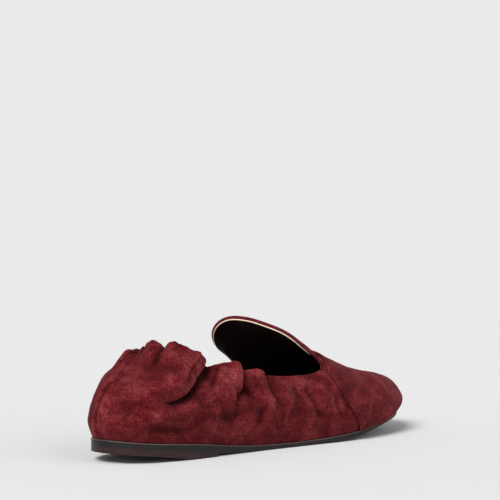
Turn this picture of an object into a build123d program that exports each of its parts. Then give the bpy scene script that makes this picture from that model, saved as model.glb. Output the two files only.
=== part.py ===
from build123d import *
import math
import os

import numpy as np

# ---------------------------------------------------------------------------
# A right-foot slip-on shoe: a soft suede loafer with a high round tongue, a
# vamp that laps over tongue and quarters, and an elasticated topline.
# Working frame: X from the heel (0) to the toe, -Y outer (lateral) side,
# +Y inner (medial) side, Z up from the ground.  All sizes in millimetres.
# ---------------------------------------------------------------------------

# sheet and layer thicknesses
SUEDE = 1.2
LINING = 0.9
STIFFENER = 0.7
SEAM_TAPE = 0.3
HEEL_GRIP = 0.6
GLUE = 0.1

# bottom stock
SOLE_EDGE = 0.8            # how far the sole stands out past the feather line
MARGIN_THICKNESS = 1.2     # turned-in lasting margin
MARGIN_WIDTH = 11.0
BOARD = 1.6
FOAM = 2.5
SOCK = 0.9
INSOLE_INSET = 4.8         # feather line to the edge of the insole stack
HEEL_LENGTH = 62.0
HEEL_LIFT_THICKNESS = 1.2
STOCK_ENDS = (-10.0, 264.0)  # x range in which the bottom components are cut
FIT_GAP = 0.3              # round the filler and the heel pad
OUTLINE_POINTS = 90
OUTLINE_SLACK = 0.4        # how far inside its offset a point of an outline may lie
PRISM_HEIGHT = 40
SLAB_HALF_WIDTH = 60
NAIL_RADIUS = 0.8
NAIL_HEAD_RADIUS = 1.9
NAIL_HEAD_HEIGHT = 0.7
NAIL_LENGTH = 8.2
NAIL_PLACES = [(14, 0), (24, -11), (24, 10), (40, -12), (40, 11)]
HEEL_PAD_CENTRE = (33, 0)
HEEL_PAD_RADII = (21, 14)

# (x, z) of the sole's top face, from heel to toe
SOLE_TOP = [(-12, 14.0), (0, 12.6), (16, 10.8), (35, 9.2), (50, 7.9), (65, 6.1), (80, 4.4), (100, 3.2),
            (120, 2.7), (140, 3.1), (160, 4.1), (180, 6.0), (200, 8.8), (225, 12.2), (256, 15.6), (268, 16.8)]
# (x, z) of the outsole's underside
SOLE_UNDER = [(-12, 10.6), (0, 9.3), (16, 7.5), (35, 5.4), (50, 3.5), (62, 1.8), (72, 0.9), (84, 0.2), (97, -0.3),
              (110, -0.5), (135, -0.5), (150, -0.3), (161, 0.5), (173, 1.9), (181, 3.4), (192, 5.6), (206, 7.9),
              (219, 9.8), (235, 11.8), (256, 13.8), (268, 15.0)]
# (x, z) of the heel's underside, up to the breast
HEEL_UNDER = [(-12, 6.9), (0, 5.6), (12, 4.4), (22, 3.3), (34, 1.6), (44, 0.3), (50, -0.3), (58, -0.4), (66, -0.4)]
# both profiles dip below the ground, where the ground plane cuts them flat

# Section curves of the upper's outer face, each from the feather line up to
# the edge of the foot opening.  The first point has only x and y, because the
# sole's top face gives its height.
RIBS = [
    [(0.3, 0), (-2.3, 0, 22), (1.0, 0, 33.5), (8.7, 0, 42.5), (19, 0, 50.6), (29, 0, 59.9)],
    [(6.3, -16.3), (3.8, -19.5, 21.5), (7.5, -20.5, 33), (14, -19.2, 43), (22.5, -16, 52.5), (31, -12, 62)],
    [(22, -24.2), (20.5, -27.5, 20), (22, -28.5, 31), (27, -27.5, 42), (33, -24.5, 52), (40, -20.5, 60.8)],
    [(45, -26.8), (44.5, -30, 17), (45, -31, 27), (48, -30, 37), (52, -27.5, 46), (57, -24, 53.6)],
    [(72, -27.3), (72, -30.5, 13), (73, -31.5, 22.5), (75, -31, 32), (77.5, -28.8, 41), (80, -25.5, 48.5)],
    [(105, -28.2), (105.5, -31.5, 10.5), (106, -32.5, 19), (107, -31.8, 27.5), (108.5, -29.8, 35.5),
     (110, -27, 42.6)],
    [(142, -31.8), (143.5, -35, 10.5), (144.5, -35.6, 19), (145.5, -34, 27.5), (146.5, -31.2, 35.5),
     (147.5, -28, 43)],
    [(175, -34.6), (174, -37.8, 12), (169, -37.2, 22.5), (162, -33, 35), (151.5, -29.5, 46), (137.5, -26, 55.5)],
    [(204, -31.4), (203, -34, 16.5), (196, -30.5, 28.5), (181, -24, 40.5), (155, -21, 51.5), (121.6, -20, 66)],
    [(230.5, -20), (232, -22.5, 20.5), (224, -18.5, 32.5), (201, -12.5, 39.5), (161, -8.5, 53), (108.5, -7, 73)],
    [(251.5, 6), (257, 5, 22.5), (246, 2.5, 33), (212, 3, 39), (165, 4, 52), (102.5, 6, 73)],
    [(241.5, 22.5), (245, 24.5, 21.5), (235, 20, 32.2), (207, 17.5, 39), (160, 17.5, 50.5), (102.3, 17, 67.6)],
    [(214, 33.6), (213.5, 36, 17.5), (205, 32.5, 28.5), (184, 27.5, 39), (150, 26, 49.5), (110.5, 25, 60)],
    [(178, 35.1), (176.5, 37.5, 12.5), (170, 37, 22.5), (160, 34, 33.5), (143, 31.5, 44.5), (124, 30, 53.8)],
    [(140, 29.3), (139.5, 32.5, 10.5), (139, 35, 19.5), (138.5, 35.8, 28.5), (138, 35, 37), (137.5, 33.5, 45)],
    [(107, 23.1), (107, 26.5, 10.5), (107.5, 29, 19.5), (108.5, 30.2, 29), (110, 30, 37.5), (111.5, 29, 45)],
    [(73, 22.6), (73, 26, 13.5), (74, 28, 23.5), (76, 28.6, 33.5), (78.5, 27.2, 43), (81, 25, 51)],
    [(44, 23.6), (43.5, 27, 17.5), (44, 28.3, 28), (47, 27.5, 38.5), (51, 25, 48), (56.5, 21.5, 55.5)],
    [(21, 21.7), (20, 24.5, 20), (21.5, 25.2, 31), (26, 24, 42), (31.5, 21.3, 51), (38.5, 17.5, 58.5)],
    [(7.5, 14.5), (5.8, 16.8, 21.5), (8.2, 17.3, 31.5), (13.5, 16, 41), (20.8, 13, 50), (28.5, 10, 59)],
]
RIB_COUNT = len(RIBS)
LEVELS = len(RIBS[0]) - 1

# Panel edges on that face: (rib number, height from 0 at the sole to 1 at the opening)
QUARTER_FRONT_LATERAL = [(7.35, 0), (7.25, 0.2), (7.12, 0.4), (7.0, 0.6), (6.86, 0.73), (6.5, 0.87), (6.08, 1)]
QUARTER_FRONT_MEDIAL = [(12.9, 0), (13.05, 0.2), (13.15, 0.4), (13.2, 0.6), (13.3, 0.73), (13.55, 0.87), (13.92, 1)]
VAMP_EDGE_LATERAL = [(7.0, 0), (6.9, 0.19), (6.76, 0.36), (6.67, 0.6), (6.6, 0.8)]
VAMP_EDGE_MEDIAL = [(13.22, 0), (13.35, 0.14), (13.47, 0.38), (13.5, 0.62), (13.4, 0.8)]
TONGUE_FRONT = 0.72        # front edge of the tongue, under the vamp
PUFF_TOP = 0.5             # rear edge of the toe puff
COUNTER_HALF_WIDTH = 2.6   # in ribs, each side of the back seam
COUNTER_TOP = 0.52
ELASTIC_BOTTOM = 0.86
ELASTIC_TOP = 0.97
ELASTIC_HALF_WIDTH = 5.4
TAPE_BOTTOM = 0.06
TAPE_TOP = 0.95
TAPE_HALF_WIDTH = 0.3
GRIP_BOTTOM = 0.3
GRIP_TOP = 0.93
GRIP_HALF_WIDTH = 1.7
TONGUE_LINING_TOP = 0.985
BUTT_GAP = 0.01            # between two layers that meet edge to edge under the vamp
BACK_SEAM_GAP = 0.006      # in ribs, each side of the back seam
FRONT_SEAM_GAP = 0.06      # in ribs, between a quarter and the tongue


def spline_weights(values, closed):
    """Control values of a uniform cubic B-spline that passes through the given values."""
    values = np.asarray(values, float)
    count = len(values)
    matrix = 4 * np.eye(count)
    for i in range(count):
        matrix[i, (i - 1) % count] += 1
        matrix[i, (i + 1) % count] += 1
    if not closed:
        matrix[0] = matrix[-1] = 0
        matrix[0, 0] = matrix[-1, -1] = 6
    control = np.linalg.solve(matrix / 6, values.reshape(count, -1)).reshape(values.shape)
    if closed:
        return np.concatenate([control[-1:], control, control[:2]])
    return np.concatenate([[2 * control[0] - control[1]], control, [2 * control[-1] - control[-2]]])


def basis(t):
    return np.array([(1 - t) ** 3, 3 * t**3 - 6 * t**2 + 4, -3 * t**3 + 3 * t**2 + 3 * t + 1, t**3]) / 6


def along(points, fraction):
    """Point at a fraction from 0 to 1 along a smooth curve through the given points."""
    place = min(max(fraction, 0), 1) * (len(points) - 1)
    cell = min(int(place), len(points) - 2)
    return basis(place - cell) @ spline_weights(points, False)[cell:cell + 4]


def profile_height(profile, x):
    """Height of a side profile at x, with a smooth slope between its points."""
    xs, zs = np.array(profile, float).T
    slopes = np.gradient(zs, xs)
    i = int(np.clip(np.searchsorted(xs, x) - 1, 0, len(xs) - 2))
    width = xs[i + 1] - xs[i]
    t = (x - xs[i]) / width
    start = (2 * t**3 - 3 * t**2 + 1) * zs[i] + (t**3 - 2 * t**2 + t) * width * slopes[i]
    end = (3 * t**2 - 2 * t**3) * zs[i + 1] + (t**3 - t**2) * width * slopes[i + 1]
    return start + end


def sole_top(x):
    return profile_height(SOLE_TOP, x)


def rib_points(rib):
    x, y = rib[0]
    return [(x, y, sole_top(x) + GLUE)] + rib[1:]


RIB_NET = spline_weights(np.array([rib_points(rib) for rib in RIBS], float), True)
NET = np.array([spline_weights(column, False) for column in RIB_NET])


def raw_upper(u, v):
    place = min(max(v, 0), 1) * LEVELS
    level = min(int(place), LEVELS - 1)
    rib = int(math.floor(u)) % RIB_COUNT
    across = basis(u - math.floor(u))
    up = basis(place - level)
    return np.einsum("i,j,ijk->k", across, up, NET[rib:rib + 4, level:level + 4])


def upper(u, v, lift=0.0):
    """Point of the upper at rib u and height v, lifted along the outward normal."""
    step = 0.004
    low, high = max(v - step, 0), min(v + step, 1)
    across = raw_upper(u + step, v) - raw_upper(u - step, v)
    up = raw_upper(u, high) - raw_upper(u, low)
    normal = np.cross(across, up)
    return raw_upper(u, v) + lift * normal / np.linalg.norm(normal)


def on_sole(u, v, lift):
    """Same point, with the foot of the wall brought down (or up) on to the sole's top face."""
    foot = upper(u, 0, lift)
    drop = sole_top(foot[0]) + GLUE - foot[2]
    point = upper(u, v, lift)
    point[2] += drop * (1 - v) ** 4
    return point


def sheet(left, right, inner, outer, columns=36, rows=14):
    """Solid sheet between two side edges, from one lift to another along the outward normal."""
    def face(lift):
        grid = []
        for row in range(rows + 1):
            a = along(left, row / rows)
            b = along(right, row / rows)
            span = [a + (b - a) * column / columns for column in range(columns + 1)]
            grid.append([Vector(*on_sole(u, v, lift)) for u, v in span])
        return Face.make_surface_from_array_of_points(grid, tol=0.01)

    top = face(outer)
    bottom = face(inner)
    sides = [Face.make_surface_from_curves(a, b) for a, b in zip(top.edges(), bottom.edges())]
    solid = Solid(Shell([top, bottom, *sides]))
    return solid if solid.volume > 0 else Solid(solid.wrapped.Reversed())


def between(edge, low, high, shift=0.0):
    """Part of a panel edge from one height to another, moved sideways by a number of ribs."""
    heights = np.linspace(low, high, 15)
    us, vs = np.array([along(edge, i / 40) for i in range(41)]).T
    return [(float(np.interp(h, vs, us)) + shift, float(h)) for h in heights]


def upright(u, low, high):
    return [(u, low), (u, high)]


def outline(offset):
    """Closed plan face, at an offset outside the feather line."""
    ribs = RIB_COUNT * np.arange(OUTLINE_POINTS) / OUTLINE_POINTS
    base = np.array([raw_upper(u, 0)[:2] for u in ribs])
    ahead = np.roll(base, -1, axis=0) - np.roll(base, 1, axis=0)
    outward = np.column_stack([ahead[:, 1], -ahead[:, 0]])
    moved = base + offset * outward / np.linalg.norm(outward, axis=1)[:, None]
    # a deep inset folds over itself at the tight ends, so points too near the line are dropped
    nearest = np.linalg.norm(moved[:, None] - base[None], axis=2).min(axis=1)
    kept = moved[nearest > abs(offset) - OUTLINE_SLACK]
    return make_face(Spline(*[tuple(point) for point in kept], periodic=True))


def slab(under, over, x_start, x_end):
    """Block between two side profiles, given as functions of x."""
    xs = np.linspace(x_start, x_end, max(8, int((x_end - x_start) / 5)))
    low = [(x, under(x)) for x in xs]
    high = [(x, over(x)) for x in xs]
    side = make_face([Spline(*low), Line(low[-1], high[-1]), Spline(*high[::-1]), Line(high[0], low[0])])
    return extrude(Plane.XZ * side, SLAB_HALF_WIDTH, both=True)


def bottom_stock(offset, under, over, ends=STOCK_ENDS):
    """Sole component: the plan outline cut to the space between two side profiles."""
    prism = extrude(outline(offset), PRISM_HEIGHT)
    return prism & slab(under, over, *ends)


def above_sole(height):
    return lambda x: sole_top(x) + height


def nail(place):
    """Flat-headed heel nail, its head sunk level with the insole board."""
    x, y = place
    top = sole_top(x) + MARGIN_THICKNESS + BOARD + GLUE
    corners = [(0, 0), (NAIL_HEAD_RADIUS, 0), (NAIL_HEAD_RADIUS, -NAIL_HEAD_HEIGHT),
               (NAIL_RADIUS, -NAIL_HEAD_HEIGHT), (NAIL_RADIUS, -NAIL_LENGTH), (0, -NAIL_LENGTH)]
    half = make_face(Polyline(*corners, close=True))
    return Pos(x, y, top) * revolve(Plane.XZ * half, Axis.Z)


def build_bottom():
    """Outsole, heel and the layers under the foot."""
    def under(x):
        return profile_height(SOLE_UNDER, x)

    def heel_under(x):
        return profile_height(HEEL_UNDER, x)

    def lift_top(x):
        return max(heel_under(x), 0) + HEEL_LIFT_THICKNESS

    nails = [nail(place) for place in NAIL_PLACES]
    margin_top = GLUE + MARGIN_THICKNESS
    board_top = margin_top + GLUE + BOARD
    foam_top = board_top + GLUE + FOAM
    sock_top = foam_top + GLUE + SOCK
    inset = -INSOLE_INSET
    heel_ends = (STOCK_ENDS[0], HEEL_LENGTH)

    outsole = bottom_stock(SOLE_EDGE, under, sole_top)
    heel_block = bottom_stock(SOLE_EDGE, lift_top, under, heel_ends)
    heel_lift = bottom_stock(SOLE_EDGE, heel_under, lift_top, heel_ends)
    margin = bottom_stock(inset, above_sole(GLUE), above_sole(margin_top))
    filler = bottom_stock(inset - MARGIN_WIDTH - FIT_GAP, above_sole(GLUE), above_sole(margin_top))
    margin -= extrude(outline(inset - MARGIN_WIDTH), PRISM_HEIGHT)
    board = bottom_stock(inset, above_sole(margin_top + GLUE), above_sole(board_top))
    foam = bottom_stock(inset, above_sole(board_top + GLUE), above_sole(foam_top))
    sock = bottom_stock(inset, above_sole(foam_top + GLUE), above_sole(sock_top))

    x, y = HEEL_PAD_CENTRE
    length, width = HEEL_PAD_RADII
    pad_prism = extrude(Pos(x, y, 0) * Ellipse(length, width), PRISM_HEIGHT)
    cut_prism = extrude(Pos(x, y, 0) * Ellipse(length + FIT_GAP, width + FIT_GAP), PRISM_HEIGHT)
    heel_pad = foam & pad_prism
    foam -= cut_prism

    for cut in nails:
        outsole -= cut
        heel_block -= cut
        margin -= cut
        filler -= cut
        board -= cut
    return {
        "outsole": outsole,
        "heel_block": heel_block,
        "heel_top_lift": heel_lift,
        "heel_nails": Compound([piece.solid() for piece in nails]),
        "lasting_margin": margin,
        "bottom_filler": filler,
        "insole_board": board,
        "footbed_foam": foam,
        "heel_pad": heel_pad,
        "sock_lining": sock,
    }


def across_back(half_width, low, high, lifts, columns, rows):
    """Strip that wraps round the heel, centred on the back seam."""
    return sheet(upright(-half_width, low, high), upright(half_width, low, high), *lifts, columns, rows)


def build_upper():
    """Suede panels, their stiffeners and their linings, as curved sheets."""
    back_lateral = upright(BACK_SEAM_GAP, 0, 1)
    back_medial = upright(RIB_COUNT - BACK_SEAM_GAP, 0, 1)
    front_lateral = between(QUARTER_FRONT_LATERAL, 0, 1)
    front_medial = between(QUARTER_FRONT_MEDIAL, 0, 1)

    def ahead_lateral(low, high, gap=FRONT_SEAM_GAP):
        return between(QUARTER_FRONT_LATERAL, low, high, gap)

    def ahead_medial(low, high, gap=FRONT_SEAM_GAP):
        return between(QUARTER_FRONT_MEDIAL, low, high, -gap)

    suede = (-SUEDE, 0)
    shallow_lining = (-SUEDE - GLUE - LINING, -SUEDE - GLUE)
    tape = (-SUEDE - GLUE - SEAM_TAPE, -SUEDE - GLUE)
    stiffener_out = tape[0] - GLUE
    stiffener = (stiffener_out - STIFFENER, stiffener_out)
    deep_lining = (stiffener[0] - GLUE - LINING, stiffener[0] - GLUE)
    grip = (deep_lining[0] - GLUE - HEEL_GRIP, deep_lining[0] - GLUE)
    lining_gap = 5 * FRONT_SEAM_GAP

    return {
        "vamp": sheet(VAMP_EDGE_LATERAL, VAMP_EDGE_MEDIAL, GLUE, GLUE + SUEDE, 44, 18),
        "tongue": sheet(ahead_lateral(TONGUE_FRONT, 1), ahead_medial(TONGUE_FRONT, 1), *suede),
        "lateral_quarter": sheet(back_lateral, front_lateral, *suede, 40, 14),
        "medial_quarter": sheet(front_medial, back_medial, *suede, 40, 14),
        "toe_puff": sheet(ahead_lateral(0, PUFF_TOP), ahead_medial(0, PUFF_TOP), *suede),
        "vamp_backer": sheet(ahead_lateral(PUFF_TOP + BUTT_GAP, TONGUE_FRONT - BUTT_GAP),
                             ahead_medial(PUFF_TOP + BUTT_GAP, TONGUE_FRONT - BUTT_GAP), *suede),
        "vamp_lining": sheet(ahead_lateral(0, TONGUE_FRONT - BUTT_GAP), ahead_medial(0, TONGUE_FRONT - BUTT_GAP),
                             *shallow_lining, 44, 18),
        "tongue_lining": sheet(ahead_lateral(TONGUE_FRONT, TONGUE_LINING_TOP, lining_gap),
                               ahead_medial(TONGUE_FRONT, TONGUE_LINING_TOP, lining_gap), *shallow_lining),
        "lateral_quarter_lining": sheet(back_lateral, front_lateral, *deep_lining, 40, 14),
        "medial_quarter_lining": sheet(front_medial, back_medial, *deep_lining, 40, 14),
        "back_seam_tape": across_back(TAPE_HALF_WIDTH, TAPE_BOTTOM, TAPE_TOP, tape, 6, 12),
        "heel_counter": across_back(COUNTER_HALF_WIDTH, 0, COUNTER_TOP, stiffener, 36, 14),
        "topline_elastic": across_back(ELASTIC_HALF_WIDTH, ELASTIC_BOTTOM, ELASTIC_TOP, stiffener, 60, 4),
        "heel_grip": across_back(GRIP_HALF_WIDTH, GRIP_BOTTOM, GRIP_TOP, grip, 16, 10),
    }


parts = {**build_bottom(), **build_upper()}
boxes = [part.bounding_box() for part in parts.values()]
low = [min(tuple(box.min)[axis] for box in boxes) for axis in range(3)]
high = [max(tuple(box.max)[axis] for box in boxes) for axis in range(3)]
shift = Pos(-(low[0] + high[0]) / 2, -(low[1] + high[1]) / 2, -low[2])
print("low", low, "high", high)

os.makedirs("parts", exist_ok=True)
for name, part in parts.items():
    moved = shift * part
    export_step(moved, f"parts/{name}.step")
    print(f"{name:26s} {moved.volume:9.1f} mm3 valid {moved.is_valid}")
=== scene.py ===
import math
import random

import bpy
import numpy as np
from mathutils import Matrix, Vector


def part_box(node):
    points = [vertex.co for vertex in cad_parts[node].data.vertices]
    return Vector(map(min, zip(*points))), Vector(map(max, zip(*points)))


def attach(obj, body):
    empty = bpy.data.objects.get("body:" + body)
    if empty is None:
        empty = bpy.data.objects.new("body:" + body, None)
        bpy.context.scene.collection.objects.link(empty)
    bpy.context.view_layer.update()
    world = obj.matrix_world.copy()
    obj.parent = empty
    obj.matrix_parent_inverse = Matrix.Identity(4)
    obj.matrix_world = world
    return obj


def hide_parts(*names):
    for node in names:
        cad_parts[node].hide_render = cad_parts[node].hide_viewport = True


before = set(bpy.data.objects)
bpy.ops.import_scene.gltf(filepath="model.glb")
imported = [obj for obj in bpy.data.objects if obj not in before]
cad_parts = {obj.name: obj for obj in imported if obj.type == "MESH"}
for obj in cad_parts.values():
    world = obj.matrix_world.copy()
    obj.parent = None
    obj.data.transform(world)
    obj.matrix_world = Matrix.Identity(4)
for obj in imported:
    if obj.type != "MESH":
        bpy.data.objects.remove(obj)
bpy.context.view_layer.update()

MM = 0.001

# ---------------------------------------------------------------------------
# The upper's base surface, in the shoe frame: millimetres, X from the heel to
# the toe, -Y the outer side, Z up from the ground.  Section curves run from
# the feather line to the edge of the foot opening.
# ---------------------------------------------------------------------------
SOLE_TOP = [(-12, 14.0), (0, 12.6), (16, 10.8), (35, 9.2), (50, 7.9), (65, 6.1), (80, 4.4), (100, 3.2),
            (120, 2.7), (140, 3.1), (160, 4.1), (180, 6.0), (200, 8.8), (225, 12.2), (256, 15.6),
            (268, 16.8)]
RIBS = [
    [(0.3, 0), (-2.3, 0, 22), (1.0, 0, 33.5), (8.7, 0, 42.5), (19, 0, 50.6), (29, 0, 59.9)],
    [(6.3, -16.3), (3.8, -19.5, 21.5), (7.5, -20.5, 33), (14, -19.2, 43), (22.5, -16, 52.5), (31, -12, 62)],
    [(22, -24.2), (20.5, -27.5, 20), (22, -28.5, 31), (27, -27.5, 42), (33, -24.5, 52), (40, -20.5, 60.8)],
    [(45, -26.8), (44.5, -30, 17), (45, -31, 27), (48, -30, 37), (52, -27.5, 46), (57, -24, 53.6)],
    [(72, -27.3), (72, -30.5, 13), (73, -31.5, 22.5), (75, -31, 32), (77.5, -28.8, 41), (80, -25.5, 48.5)],
    [(105, -28.2), (105.5, -31.5, 10.5), (106, -32.5, 19), (107, -31.8, 27.5), (108.5, -29.8, 35.5),
     (110, -27, 42.6)],
    [(142, -31.8), (143.5, -35, 10.5), (144.5, -35.6, 19), (145.5, -34, 27.5), (146.5, -31.2, 35.5),
     (147.5, -28, 43)],
    [(175, -34.6), (174, -37.8, 12), (169, -37.2, 22.5), (162, -33, 35), (151.5, -29.5, 46),
     (137.5, -26, 55.5)],
    [(204, -31.4), (203, -34, 16.5), (196, -30.5, 28.5), (181, -24, 40.5), (155, -21, 51.5),
     (121.6, -20, 66)],
    [(230.5, -20), (232, -22.5, 20.5), (224, -18.5, 32.5), (201, -12.5, 39.5), (161, -8.5, 53),
     (108.5, -7, 73)],
    [(251.5, 6), (257, 5, 22.5), (246, 2.5, 33), (212, 3, 39), (165, 4, 52), (102.5, 6, 73)],
    [(241.5, 22.5), (245, 24.5, 21.5), (235, 20, 32.2), (207, 17.5, 39), (160, 17.5, 50.5),
     (102.3, 17, 67.6)],
    [(214, 33.6), (213.5, 36, 17.5), (205, 32.5, 28.5), (184, 27.5, 39), (150, 26, 49.5), (110.5, 25, 60)],
    [(178, 35.1), (176.5, 37.5, 12.5), (170, 37, 22.5), (160, 34, 33.5), (143, 31.5, 44.5),
     (124, 30, 53.8)],
    [(140, 29.3), (139.5, 32.5, 10.5), (139, 35, 19.5), (138.5, 35.8, 28.5), (138, 35, 37),
     (137.5, 33.5, 45)],
    [(107, 23.1), (107, 26.5, 10.5), (107.5, 29, 19.5), (108.5, 30.2, 29), (110, 30, 37.5),
     (111.5, 29, 45)],
    [(73, 22.6), (73, 26, 13.5), (74, 28, 23.5), (76, 28.6, 33.5), (78.5, 27.2, 43), (81, 25, 51)],
    [(44, 23.6), (43.5, 27, 17.5), (44, 28.3, 28), (47, 27.5, 38.5), (51, 25, 48), (56.5, 21.5, 55.5)],
    [(21, 21.7), (20, 24.5, 20), (21.5, 25.2, 31), (26, 24, 42), (31.5, 21.3, 51), (38.5, 17.5, 58.5)],
    [(7.5, 14.5), (5.8, 16.8, 21.5), (8.2, 17.3, 31.5), (13.5, 16, 41), (20.8, 13, 50), (28.5, 10, 59)],
]
RIB_COUNT = len(RIBS)
LEVELS = len(RIBS[0]) - 1
SUEDE = 1.2
QUARTER_FRONT_LATERAL = [(7.35, 0), (7.25, 0.2), (7.12, 0.4), (7.0, 0.6), (6.86, 0.73), (6.5, 0.87),
                         (6.08, 1)]
QUARTER_FRONT_MEDIAL = [(12.9, 0), (13.05, 0.2), (13.15, 0.4), (13.2, 0.6), (13.3, 0.73), (13.55, 0.87),
                        (13.92, 1)]
VAMP_EDGE_LATERAL = [(7.0, 0), (6.9, 0.19), (6.76, 0.36), (6.67, 0.6), (6.6, 0.8)]
VAMP_EDGE_MEDIAL = [(13.22, 0), (13.35, 0.14), (13.47, 0.38), (13.5, 0.62), (13.4, 0.8)]


def spline_weights(values, closed):
    """Control values of a uniform cubic B-spline that passes through the given values."""
    values = np.asarray(values, float)
    count = len(values)
    matrix = 4 * np.eye(count)
    for i in range(count):
        matrix[i, (i - 1) % count] += 1
        matrix[i, (i + 1) % count] += 1
    if not closed:
        matrix[0] = matrix[-1] = 0
        matrix[0, 0] = matrix[-1, -1] = 6
    control = np.linalg.solve(matrix / 6, values.reshape(count, -1)).reshape(values.shape)
    if closed:
        return np.concatenate([control[-1:], control, control[:2]])
    return np.concatenate([[2 * control[0] - control[1]], control, [2 * control[-1] - control[-2]]])


def basis(t):
    return np.array([(1 - t) ** 3, 3 * t**3 - 6 * t**2 + 4, -3 * t**3 + 3 * t**2 + 3 * t + 1, t**3]) / 6


def curve(points, fractions):
    """Points at fractions from 0 to 1 along a smooth open curve through the given points."""
    weights = spline_weights(points, False)
    place = np.clip(fractions, 0, 1) * (len(points) - 1)
    cell = np.minimum(place.astype(int), len(points) - 2)
    weight = basis(place - cell)
    return sum(weight[k][:, None] * weights[cell + k] for k in range(4))


def sole_top(x):
    """Height of the sole's top face."""
    xs, zs = np.array(SOLE_TOP, float).T
    slopes = np.gradient(zs, xs)
    i = np.clip(np.searchsorted(xs, x) - 1, 0, len(xs) - 2)
    width = xs[i + 1] - xs[i]
    t = (x - xs[i]) / width
    start = (2 * t**3 - 3 * t**2 + 1) * zs[i] + (t**3 - 2 * t**2 + t) * width * slopes[i]
    end = (3 * t**2 - 2 * t**3) * zs[i + 1] + (t**3 - t**2) * width * slopes[i + 1]
    return start + end


def rib_points(rib):
    x, y = rib[0]
    return [(x, y, float(sole_top(np.array(x))) + 0.1)] + rib[1:]


RIB_NET = spline_weights(np.array([rib_points(rib) for rib in RIBS], float), True)
NET = np.array([spline_weights(column, False) for column in RIB_NET])


def raw_upper(u, v):
    """Points of the base surface; u counts ribs round the shoe and v goes from 0 to 1."""
    u, v = np.broadcast_arrays(np.asarray(u, float), np.asarray(v, float))
    place = np.clip(v, 0, 1) * LEVELS
    level = np.minimum(place.astype(int), LEVELS - 1)
    rib = np.floor(u).astype(int)
    across, up = basis(u - rib), basis(place - level)
    rib = rib % RIB_COUNT
    total = 0
    for i in range(4):
        for j in range(4):
            total = total + (across[i] * up[j])[..., None] * NET[rib + i, level + j]
    return total


def base_frame(u, v):
    """Points and outward normals."""
    step = 0.004
    low, high = np.clip(v - step, 0, 1), np.clip(v + step, 0, 1)
    along_u = raw_upper(u + step, v) - raw_upper(u - step, v)
    along_v = raw_upper(u, high) - raw_upper(u, low)
    return raw_upper(u, v), unit(np.cross(along_u, along_v))


def unit(vectors):
    return vectors / (np.linalg.norm(vectors, axis=-1, keepdims=True) + 1e-12)


# where the shoe frame's origin lies in the row frame, from two CAD faces
HEEL_LENGTH = 62.0
plan = raw_upper(np.linspace(0, RIB_COUNT, 400), np.zeros(400))
SHIFT = Vector((
    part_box("heel_top_lift")[1].x / MM - HEEL_LENGTH,
    (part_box("outsole")[0].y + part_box("outsole")[1].y) / 2 / MM - (plan[:, 1].min() + plan[:, 1].max()) / 2,
    0.0,
))


def to_row(points):
    """Shoe frame in millimetres to row frame in metres."""
    return (np.asarray(points, float) + np.array(SHIFT)) * MM


# ---------------------------------------------------------------------------
# Smooth helpers for folds and gathers
# ---------------------------------------------------------------------------
def smooth(low, high, value):
    t = np.clip((value - low) / (high - low), 0, 1)
    return t * t * (3 - 2 * t)


def bump(distance, width):
    return np.exp(-(distance / width) ** 2)


def hash_grid(ix, iy, seed):
    """Repeatable value from 0 to 1 for every cell of a grid."""
    n = (ix * 374761393 + iy * 668265263 + seed * 982451653) & 0x7FFFFFFF
    n = ((n ^ (n >> 13)) * 1274126177) & 0x7FFFFFFF
    return ((n ^ (n >> 16)) & 0xFFFF) / 65535.0


def noise(x, y, seed):
    """Smooth value noise from -1 to 1."""
    ix, iy = np.floor(x).astype(np.int64), np.floor(y).astype(np.int64)
    fx, fy = x - ix, y - iy
    fx, fy = fx * fx * (3 - 2 * fx), fy * fy * (3 - 2 * fy)
    low = hash_grid(ix, iy, seed) * (1 - fx) + hash_grid(ix + 1, iy, seed) * fx
    high = hash_grid(ix, iy + 1, seed) * (1 - fx) + hash_grid(ix + 1, iy + 1, seed) * fx
    return 2 * (low * (1 - fy) + high * fy) - 1


REACH = 26.0               # how far from its line a fold can be felt


class Path:
    """A fold line drawn with points in two coordinates, such as (x, z) in side view.  The flap or hump lies
    on the right of the direction of travel and the hollow on the left."""

    def __init__(self, points, taper=(0.12, 0.3)):
        self.points = curve(np.array(points, float), np.linspace(0, 1, 40))
        self.taper = taper

    def measure(self, a, b):
        """Signed distance (positive on the flap's side), strength, and the direction towards the hollow."""
        flat = np.column_stack([a.ravel(), b.ravel()])
        low, high = self.points.min(0) - REACH, self.points.max(0) + REACH
        near = np.flatnonzero(((flat > low) & (flat < high)).all(1))
        close = flat[near]
        best = np.full(len(near), 1e9)
        side = np.ones(len(near))
        where = np.zeros(len(near))
        across = np.zeros((len(near), 2))
        count = len(self.points) - 1
        for i in range(count):
            start, step = self.points[i], self.points[i + 1] - self.points[i]
            length = np.hypot(*step)
            t = np.clip(((close - start) @ step) / length**2, 0, 1)
            off = close - (start + t[:, None] * step)
            distance = np.hypot(off[:, 0], off[:, 1])
            closer = distance < best
            left = np.array([-step[1], step[0]]) / length
            best = np.where(closer, distance, best)
            side = np.where(closer, -np.sign(off @ left), side)
            where = np.where(closer, (i + t) / count, where)
            across[closer] = left
        start, end = self.taper
        strength = smooth(0, start, where) if start else np.ones_like(where)
        strength = strength * (1 - smooth(1 - end, 1, where)) if end else strength
        full_distance = np.full(len(flat), 1e3)
        full_strength = np.zeros(len(flat))
        full_across = np.zeros((len(flat), 2))
        full_distance[near] = side * best
        full_strength[near] = strength
        full_across[near] = across
        return (full_distance.reshape(a.shape), full_strength.reshape(a.shape),
                full_across.reshape(a.shape + (2,)))


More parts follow.
